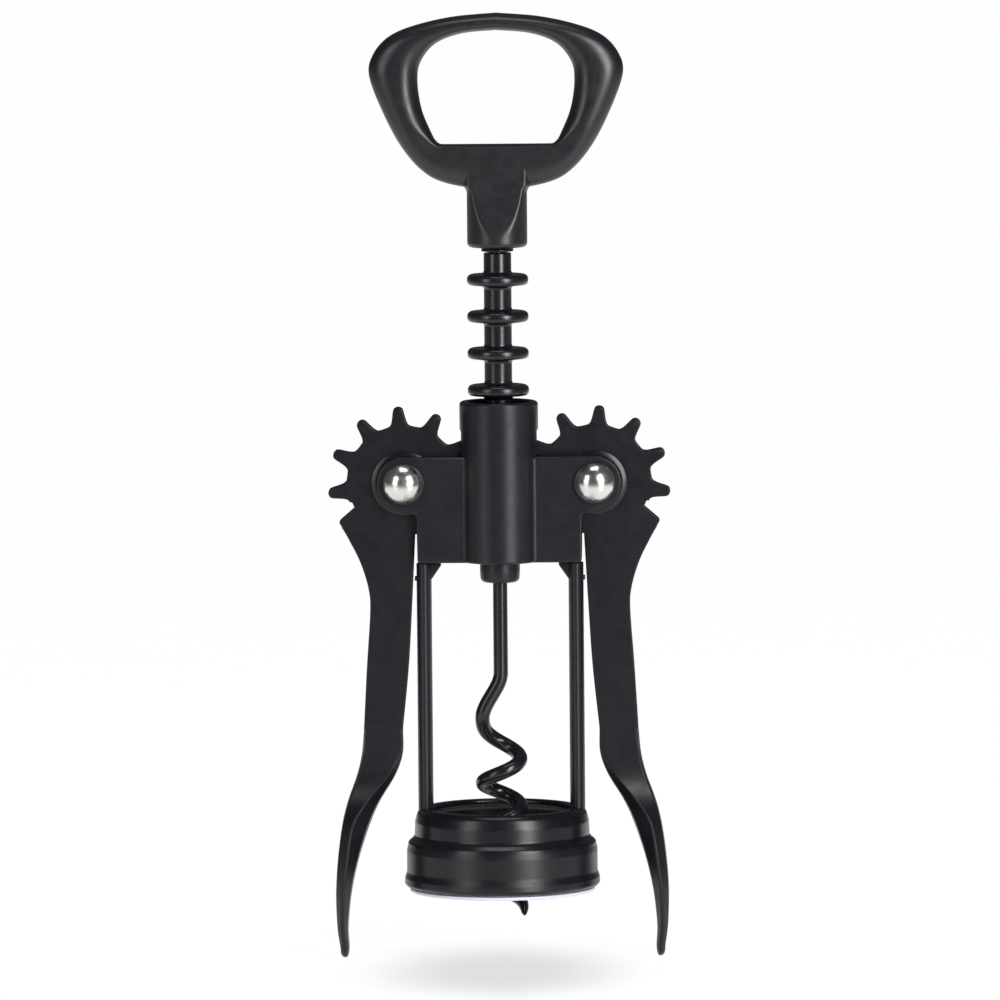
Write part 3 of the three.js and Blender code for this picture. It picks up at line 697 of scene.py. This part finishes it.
def handle_loop():
    outer = [(x * LOOP_HALF_WIDTH, LOOP_BOTTOM + z * LOOP_HEIGHT - LOOP_CENTRE_Z)
             for x, z in smooth(LOOP_OUTLINE, 12)]
    opening = smooth(OPENING_OUTLINE, 10)
    opening = [(x * OPENING_HALF_WIDTH, OPENING_Z + z * OPENING_HEIGHT - LOOP_CENTRE_Z) for x, z in opening]
    edge_z = OPENING_Z - LOOP_CENTRE_Z
    corner = rounded([(*opening[-1], 0), (OPENER_CORNER_X, edge_z, 1.1), (0, edge_z, 0)],
                     closed=False, steps=6)
    opening += corner[1:]
    rings = []
    for k in range(2 * LOOP_STEPS):
        turn = math.pi / 2 - math.pi * k / LOOP_STEPS
        angle = turn if k <= LOOP_STEPS else -math.pi - turn
        far = ray_length(outer, angle)
        near = ray_length(opening, angle)
        direction = (math.cos(turn), math.sin(turn))
        in_web = min(1, max(0, (-math.degrees(angle) - WEB_START) / WEB_SPREAD))
        in_web = in_web * in_web * (3 - 2 * in_web)
        half = LOOP_HALF_THICKNESS + (WEB_HALF_THICKNESS - LOOP_HALF_THICKNESS) * in_web
        width = far - near
        outer_round = min(OUTER_SHARE * width, OUTER_ROUNDING)
        inner_round = min(INNER_SHARE * width, INNER_ROUNDING) * (1 - in_web) + OPENER_ROUNDING * in_web
        flat = width - outer_round - inner_round
        turns = [math.pi / 2 * i / 12 for i in range(13)]
        front = [(far - outer_round * (1 - math.cos(a)), half * math.sin(a)) for a in turns]
        front += [(far - outer_round - flat * i / 5, half) for i in range(1, 5)]
        turns = [math.pi / 2 * (1 - i / 9) for i in range(10)]
        front += [(near + inner_round * (1 - math.cos(a)), half * math.sin(a)) for a in turns]
        section = [(r, -y) for r, y in front] + [(r, y) for r, y in reversed(front[1:-1])]
        rings.append([(r * direction[0], y, LOOP_CENTRE_Z + r * direction[1]) for r, y in section])
    return strips(rings, wrap=True)


FACET_TOP = 12.8
FACET_BOTTOM = 2.4
FACET_HOLLOW = 1.35  # more than 1 makes the facet steeper at its foot
FACET_BLEND = 0.3
FACET_SINK = 0.04  # keeps the collar's facet just below the face of the loop's web
COLLAR_SIDES = 128
COLLAR_EDGE = 0.9
COLLAR_TOP = 15.2
FILLET_OUT = 1.1
FILLET_BELOW_LOOP = 0.7
FILLET_HEIGHT = 1.6


def soft_least(a, b, blend):
    """The smaller of two values, with a soft passage where they are close."""
    h = max(blend - abs(a - b), 0) / blend
    return min(a, b) - h * h * blend / 4


def handle_collar():
    bottom = HANDLE_LOW.z
    heights = [COLLAR_EDGE * (1 - math.cos(math.pi / 2 * i / 7)) for i in range(8)]
    heights += [COLLAR_EDGE + (COLLAR_TOP - COLLAR_EDGE) * i / 60 for i in range(1, 61)]
    rings = []
    for height in heights:
        inwards = COLLAR_EDGE - height
        radius = COLLAR_RADIUS
        if inwards > 0:
            radius -= COLLAR_EDGE - math.sqrt(max(COLLAR_EDGE ** 2 - inwards ** 2, 0))
        share = max(0, (FACET_TOP - height) / (FACET_TOP - FACET_BOTTOM))
        limit = WEB_HALF_THICKNESS + (COLLAR_RADIUS - WEB_HALF_THICKNESS) * share ** FACET_HOLLOW
        rise = min(1, max(0, (height - (COLLAR_LENGTH - FILLET_BELOW_LOOP)) / FILLET_HEIGHT))
        flare = FILLET_OUT * (1 - math.sqrt(1 - min(rise, 0.999) ** 2))
        ring = []
        for k in range(COLLAR_SIDES):
            a = 2 * math.pi * k / COLLAR_SIDES
            x, y = radius * math.cos(a), radius * math.sin(a)
            flat = soft_least(abs(y), limit - FACET_SINK, FACET_BLEND)
            x += math.copysign(flare * abs(math.cos(a)) ** 6, x)
            ring.append((x, math.copysign(max(flat, 0), y), bottom + height))
        rings.append(ring)
    return strips(rings)


def collar_bore():
    """The blind hole that the worm's shank goes into."""
    return turned([(0, HANDLE_LOW.z - 1), (WORM_BORE, HANDLE_LOW.z - 1),
                   (WORM_BORE, WORM_HIGH.z + BORE_GAP), (0, WORM_HIGH.z + BORE_GAP)], 32, closed=False)


add_piece("handle_loop", handle_loop(), "spindle", HANDLE_BLACK, ["handle"], sharp=50)
collar = add_piece("handle_collar", handle_collar(), "spindle", HANDLE_BLACK, ["handle"],
                   sharp=60)
cut_out(collar, collar_bore())

add_piece("thrust_washer", turned(rounded([
    (WORM_BORE, THRUST_LOW.z, 0), (THRUST_HIGH.x, THRUST_LOW.z, 0.15),
    (THRUST_HIGH.x, THRUST_HIGH.z, 0.15), (WORM_BORE, THRUST_HIGH.z, 0)], steps=3), 72),
    "spindle", BLACK)

# ---- Worm and ferrule ----

WORM_RADIUS = 3.6
WORM_PITCH = 9.3
WORM_TURNS = 3.08
TIP_BEND = 2.6
TIP_DIP = 1.38
RUN_OUT = 16.6
RUN_OUT_SWING = 0.476
TURN_SLOWING = 0.866
POINT_LENGTH = 5.5
POINT_BLUNTNESS = 0.1
WORM_STEPS = 620
WIRE_SIDES = 20
COIL_END = WORM_LOW.z + 0.05 + TIP_DIP
COIL_TOP = COIL_END + WORM_TURNS * WORM_PITCH


def worm_point(z):
    """The middle of the wire at a height: the coil, its run-out to the axis, and the dip of the tip."""
    above = min(1, max(0, (z - COIL_TOP) / RUN_OUT))
    swing = min(1, max(0, (above - RUN_OUT_SWING) / (1 - RUN_OUT_SWING)))
    radius = WORM_RADIUS * (1 - swing * swing * (3 - 2 * swing))
    slowing = min(above, 1 / (2 * TURN_SLOWING))
    climb = z - COIL_TOP if z < COIL_TOP else RUN_OUT * (slowing - TURN_SLOWING * slowing ** 2)
    angle = 2 * math.pi * climb / WORM_PITCH
    bend = max(0, 1 - (z - COIL_END) / TIP_BEND)
    return Vector((radius * math.cos(angle), radius * math.sin(angle), z - TIP_DIP * bend * bend))


def worm():
    coil = COIL_TOP + RUN_OUT
    heights = [WORM_HIGH.z, coil]
    heights += [coil + (COIL_END - coil) * i / WORM_STEPS for i in range(1, WORM_STEPS + 1)]
    path = [worm_point(z) for z in heights]
    length_left = [0.0]
    for a, b in zip(reversed(path), list(reversed(path))[1:]):
        length_left.append(length_left[-1] + (b - a).length)
    length_left.reverse()
    side = Vector((1, 0, 0))
    rings = []
    for i, centre in enumerate(path):
        along = (path[min(i + 1, len(path) - 1)] - path[max(i - 1, 0)]).normalized()
        side = (side - along * side.dot(along)).normalized()
        other = along.cross(side)
        taper = math.sqrt(length_left[i] / POINT_LENGTH)
        radius = WIRE_RADIUS * min(1, POINT_BLUNTNESS + (1 - POINT_BLUNTNESS) * taper)
        outwards = Vector((centre.x, centre.y, 0)).normalized()
        centre = centre + outwards * (WIRE_RADIUS - radius)
        rings.append([tuple(centre + side * (radius * math.cos(a)) + other * (radius * math.sin(a)))
                      for a in (2 * math.pi * k / WIRE_SIDES for k in range(WIRE_SIDES))])
    return strips(rings)


add_piece("worm", worm(), "spindle", WORM_BLACK, sharp=60)
add_piece("worm_ferrule", turned(rounded([
    (WORM_BORE - 0.2, FERRULE_LOW.z, 0), (FERRULE_HIGH.x - 0.15, FERRULE_LOW.z, 1.0),
    (FERRULE_HIGH.x, FERRULE_LOW.z + 2.2, 0.6), (FERRULE_HIGH.x, FERRULE_HIGH.z, 0.3),
    (WORM_BORE - 0.2, FERRULE_HIGH.z, 0)], steps=6), 96), "spindle", BLACK)

# ---- Levers: gear sector and flat arm, and the paddle below the knee ----

# A tooth's flank: (share of the tooth's height, half width).
TOOTH = [(0.03, 2.25), (0.12, 1.72), (0.35, 1.35), (0.82, 0.98), (0.95, 0.62), (1.0, 0.0)]
# The arm's edges: (X from the pivot, height).
ARM_INNER = [(0.55, KNEE_HEIGHT + 6), (-0.7, PIVOT_Z - 35.3), (-1.45, PIVOT_Z - 23), (-2.15, PIVOT_Z - 9.9)]
ARM_OUTER = [
    (11.9, PIVOT_Z - 8.6), (10.6, PIVOT_Z - 10.9), (8.4, PIVOT_Z - 15.4),
    (6.9, PIVOT_Z - 20.5), (6.65, PIVOT_Z - 25), (7.35, PIVOT_Z - 35.3), (8.05, KNEE_HEIGHT + 6),
]
# The paddle's sections: height, X from the pivot of the inner edge, the ridge and the outer edge, and the
# half depth beside each of them.
PADDLE = [
    (KNEE_HEIGHT + 7.5, 0.5, 1.3, 7.9, 1.28, 1.29, 1.29),
    (KNEE_HEIGHT + 5.5, 0.52, 1.4, 8.1, 1.28, 1.29, 1.29),
    (KNEE_HEIGHT + 1.2, 0.62, 1.7, 8.5, 1.24, 1.3, 1.29),
    (KNEE_HEIGHT - 3, 2.1, 3.6, 9.5, 0.9, 1.75, 1.3),
    (30, 5.1, 7.7, 11.3, 1.4, 3.2, 1.4),
    (25.6, 7.05, 10.4, 12.4, 2.2, 4.6, 2.4),
    (19, 9.2, 11.5, 13.3, 3.2, 5.7, 3.4),
    (12.5, 10.65, 12.25, 13.7, 3.6, 6, 3.8),
    (6, 11.35, 12.4, 13.5, 3.2, 5.2, 3.4),
    (2.2, 11.2, 12.05, 13, 2.6, 4.2, 2.7),
    (0.7, 11.3, 12, 12.85, 2.2, 3.5, 2.2),
    (0, 11.55, 11.95, 12.45, 1.4, 2.4, 1.4),
]


NOSE_TURNS = (-30.5, -35)


def tooth(angle):
    out = Vector((math.cos(angle), math.sin(angle)))
    along = Vector((-out.y, out.x))
    depth = GEAR_TIP_RADIUS - GEAR_ROOT_RADIUS
    flank = [(GEAR_ROOT_RADIUS + depth * height, wide) for height, wide in TOOTH]
    rows = flank + [(radius, -wide) for radius, wide in reversed(flank[:-1])]
    return [tuple(Vector((PIVOT_X, PIVOT_Z)) + out * radius + along * wide) for radius, wide in rows]


def from_pivot(rows):
    return [(PIVOT_X + x, z) for x, z in rows]


def gear_and_arm():
    step = RACK_PITCH / GEAR_PITCH_RADIUS
    teeth = [point for i in range(GEAR_TEETH) for point in tooth(math.pi - i * step)]
    last_valley = math.degrees(math.pi - (GEAR_TEETH - 0.5) * step)
    arm_outer = from_pivot(ARM_OUTER)
    crown = smooth(arc(PIVOT_X, PIVOT_Z, GEAR_ROOT_RADIUS, 250, 200, 4) + teeth
                   + arc(PIVOT_X, PIVOT_Z, GEAR_ROOT_RADIUS, last_valley + 3, last_valley - 3, 1), 3)
    nose = [(PIVOT_X + GEAR_TIP_RADIUS * math.cos(math.radians(turn)),
             PIVOT_Z + GEAR_TIP_RADIUS * math.sin(math.radians(turn))) for turn in NOSE_TURNS]
    shoulder = rounded([(*crown[-1], 0), (*nose[0], 0.9), (*nose[1], 1.0), (*arm_outer[0], 0)],
                       closed=False, steps=5)[1:-1]
    outline = smooth(from_pivot(ARM_INNER), 6) + crown + shoulder + smooth(arm_outer, 6)
    hole = shank_hole()
    return plate(outline, -LEVER_HALF, LEVER_HALF, 0.28, [hole], steps=3)


def paddle_ring(row):
    height, inner, ridge, outer, inner_depth, ridge_depth, outer_depth = row
    near = outer + (ridge - outer) * 0.06
    far = inner + (ridge - inner) * 0.12
    corners = [
        (outer, 0, 0), (near, -outer_depth, 0.35), (ridge, -ridge_depth, 0.45), (far, -inner_depth, 0.35),
        (inner, 0, 0), (far, inner_depth, 0.35), (ridge, ridge_depth, 0.45), (near, outer_depth, 0.35),
    ]
    return [(PIVOT_X + x, y, height) for x, y in rounded(corners, steps=4)]


def paddle():
    rows = smooth(PADDLE, 9)
    rings = [paddle_ring(row) for row in rows]
    return strips(rings)


add_pair("lever", both(gear_and_arm(), paddle()), ("right_lever", "left_lever"), LEVER_BLACK)

# ---- Pivots ----


def at_pivot(facing):
    """Turns a profile about the pivot's axis. Heights run from the middle plane towards -Y for facing 1."""
    return lambda r, a, h: (PIVOT_X + r * math.cos(a), -facing * h, PIVOT_Z + r * math.sin(a))


def dome(base, height, steps):
    sphere = (base * base + height * height) / (2 * height)
    rim = math.asin(base / sphere)
    angles = [rim * (1 - i / steps) for i in range(steps + 1)]
    return [(sphere * math.sin(a), sphere * math.cos(a) - sphere + height) for a in angles]


def pivot_rivet():
    seat = CHEEK_OUTER + BORE_GAP
    base = (RIVET_HIGH.x - RIVET_LOW.x) / 2
    height = -RIVET_LOW.y - seat
    tail = -RIVET_HIGH.y
    skirt = 0.35
    profile = [(0, tail), (SHANK_RADIUS - 0.2, tail), (SHANK_RADIUS, tail + 0.2), (SHANK_RADIUS, seat),
               (base - 0.15, seat), (base, seat + 0.12)]
    profile += [(max(r, 0), seat + skirt + h) for r, h in dome(base, height - skirt, 24)]
    return turned(profile, 96, at_pivot(1), closed=False)


def rivet_cap():
    seat = CHEEK_OUTER + BORE_GAP
    base = (CAP_HIGH.x - CAP_LOW.x) / 2
    height = CAP_HIGH.y - seat
    socket = RIVET_HIGH.y + BORE_GAP
    skirt = 0.35
    profile = [(0, socket), (SHANK_RADIUS + BORE_GAP, socket), (SHANK_RADIUS + BORE_GAP, seat),
               (base - 0.15, seat), (base, seat + 0.12)]
    profile += [(max(r, 0), seat + skirt + h) for r, h in dome(base, height - skirt, 18)]
    return turned(profile, 96, at_pivot(-1), closed=False)


def hub_washer(facing):
    inner, outer = -WASHER_HIGH.y, -WASHER_LOW.y
    rim = (WASHER_HIGH.x - WASHER_LOW.x) / 2
    return turned(rounded([
        (SHANK_RADIUS + BORE_GAP, inner, 0), (rim - 0.02, inner, 0.08), (rim, inner + 0.14, 0.08),
        (rim - 0.85, outer, 0.3), (SHANK_RADIUS + BORE_GAP, outer, 0)], steps=3), 96, at_pivot(facing))


add_pair("front_washer", hub_washer(1), ("frame", "frame"), BELL_BLACK)
add_pair("rear_washer", hub_washer(-1), ("frame", "frame"), BELL_BLACK)
add_pair("pivot_rivet", pivot_rivet(), ("frame", "frame"), STEEL)
add_pair("rivet_cap", rivet_cap(), ("frame", "frame"), STEEL)

# ---- Floor, light and camera ----


FLOOR_SIZE = 7
# The floor's glow, a painted pool of light: full near and behind the object, greyer in front and far to the
# sides.
GLOW_NEAR, GLOW_FAR = -0.50, -0.11
GLOW_INNER, GLOW_OUTER = 0.27, 0.7
# A painted shadow: a soft oval patch where the floor's glow is dimmed, centred a little in front of the
# object.
SHADOW_PATCH_HALF_WIDTH = 0.036
SHADOW_PATCH_HALF_DEPTH = 0.06
SHADOW_PATCH_FORWARD = 0.42  # as a share of the painted shadow's half depth


def floor():
    """A pale sweep that glows though it is no lamp: a painted pool of light, greyer in front and far to the
    sides, and a painted shadow that makes it dimmer in a soft patch at the object.
    """
    n = Nodes("pale_floor_painted_light")
    shader = n.shader
    n.link(n.ramp(n.noise(3, 3, 0.5), [(0.3, (0.115, 0.115, 0.117)), (0.7, (0.125, 0.125, 0.127))]),
           shader.inputs["Base Color"])
    n.link(n.spread(n.noise(40, 3, 0.5), 0.17, 0.21), shader.inputs["Roughness"])
    shader.inputs["Specular IOR Level"].default_value = 0.12
    # Painted shadow: the floor's glow is dimmed in a soft oval patch at the object.
    shadow_place = n.add("ShaderNodeMapping")
    shadow_place.inputs["Location"].default_value = (0, SHADOW_PATCH_FORWARD, 0)
    shadow_place.inputs["Scale"].default_value = (1 / SHADOW_PATCH_HALF_WIDTH, 1 / SHADOW_PATCH_HALF_DEPTH, 1)
    n.link(n.place, shadow_place.inputs["Vector"])
    painted_shadow = n.add("ShaderNodeTexGradient", gradient_type="SPHERICAL")
    n.link(shadow_place.outputs["Vector"], painted_shadow.inputs["Vector"])
    # Painted pool of light: the floor's glow fades to grey in front and far to the sides.
    ahead = n.mapped(n.axis("Y"), GLOW_NEAR, GLOW_FAR, 0.16, 0.94, "SMOOTHSTEP")
    aside = n.combined("ABSOLUTE", n.axis("X"))
    fall = n.mapped(aside, GLOW_INNER, GLOW_OUTER, 1.0, 0.3, "SMOOTHSTEP")
    shadow_dim = n.mapped(painted_shadow.outputs["Fac"], 0.0, 0.9, 1.0, 0.70, "SMOOTHERSTEP")
    glow = n.combined("MULTIPLY", n.combined("MULTIPLY", ahead, shadow_dim), fall)
    shader.inputs["Emission Color"].default_value = (1, 1, 1, 1)
    n.link(glow, shader.inputs["Emission Strength"])
    mesh = bpy.data.meshes.new("floor")
    bm = bmesh.new()
    bmesh.ops.create_grid(bm, x_segments=8, y_segments=8, size=FLOOR_SIZE)
    bm.to_mesh(mesh)
    bm.free()
    mesh.materials.append(n.material)
    piece = bpy.data.objects.new("floor", mesh)
    COLLECTION.objects.link(piece)
    piece.location = (0, 0, CAD_BOUNDS[0][2] - 0.0001)


def softbox(name, azimuth, elevation, distance, width, height, power, target=(0, 0, 0.1)):
    """An area light at an angle round the object. Azimuth 0 is in front and 90 to the right."""
    a, e = math.radians(azimuth), math.radians(elevation)
    out = Vector((math.sin(a) * math.cos(e), -math.cos(a) * math.cos(e), math.sin(e)))
    light = bpy.data.lights.new(name, "AREA")
    light.shape = "RECTANGLE"
    light.size, light.size_y = width, height
    light.energy = power
    lamp = bpy.data.objects.new(name, light)
    COLLECTION.objects.link(lamp)
    lamp.location = Vector(target) + out * distance
    lamp.rotation_mode = "QUATERNION"
    lamp.rotation_quaternion = (-out).to_track_quat("-Z", "Y")


floor()
softbox("softbox_right", azimuth=35, elevation=17, distance=1.1, width=0.36, height=0.85, power=11)
softbox("softbox_left", azimuth=-44, elevation=17, distance=1.15, width=0.40, height=0.85, power=3.4)
softbox("softbox_top", azimuth=0, elevation=86, distance=1.2, width=0.6, height=0.5, power=3)

WORLD_COLOUR = (0.92, 0.95, 1.0, 1)
WORLD_STRENGTH = 0.09

world = bpy.data.worlds.new("studio")
world.use_nodes = True
background = world.node_tree.nodes["Background"]
background.inputs["Color"].default_value = WORLD_COLOUR
background.inputs["Strength"].default_value = WORLD_STRENGTH
bpy.context.scene.world = world
bpy.context.scene.view_settings.view_transform = "Standard"

CAMERA_DISTANCE = 2.4
CAMERA_AZIMUTH = 1.0
CAMERA_ELEVATION = 5.2
CAMERA_ROLL = 0.476
CAMERA_TARGET = Vector((0.000117, 0, 0.088))
CAMERA_LENS = 450

camera = bpy.data.objects.new("camera", bpy.data.cameras.new("camera"))
COLLECTION.objects.link(camera)
camera.data.lens = CAMERA_LENS
camera.data.sensor_width = 36
camera.data.clip_start, camera.data.clip_end = 0.05, 40
azimuth, elevation = math.radians(CAMERA_AZIMUTH), math.radians(CAMERA_ELEVATION)
away = Vector((math.sin(azimuth) * math.cos(elevation), -math.cos(azimuth) * math.cos(elevation),
               math.sin(elevation)))
camera.location = CAMERA_TARGET + away * CAMERA_DISTANCE
look = (-away).to_track_quat("-Z", "Y").to_matrix().to_4x4()
camera.rotation_mode = "QUATERNION"
camera.rotation_quaternion = (look @ Matrix.Rotation(math.radians(-CAMERA_ROLL), 4, "Z")).to_quaternion()
bpy.context.scene.camera = camera
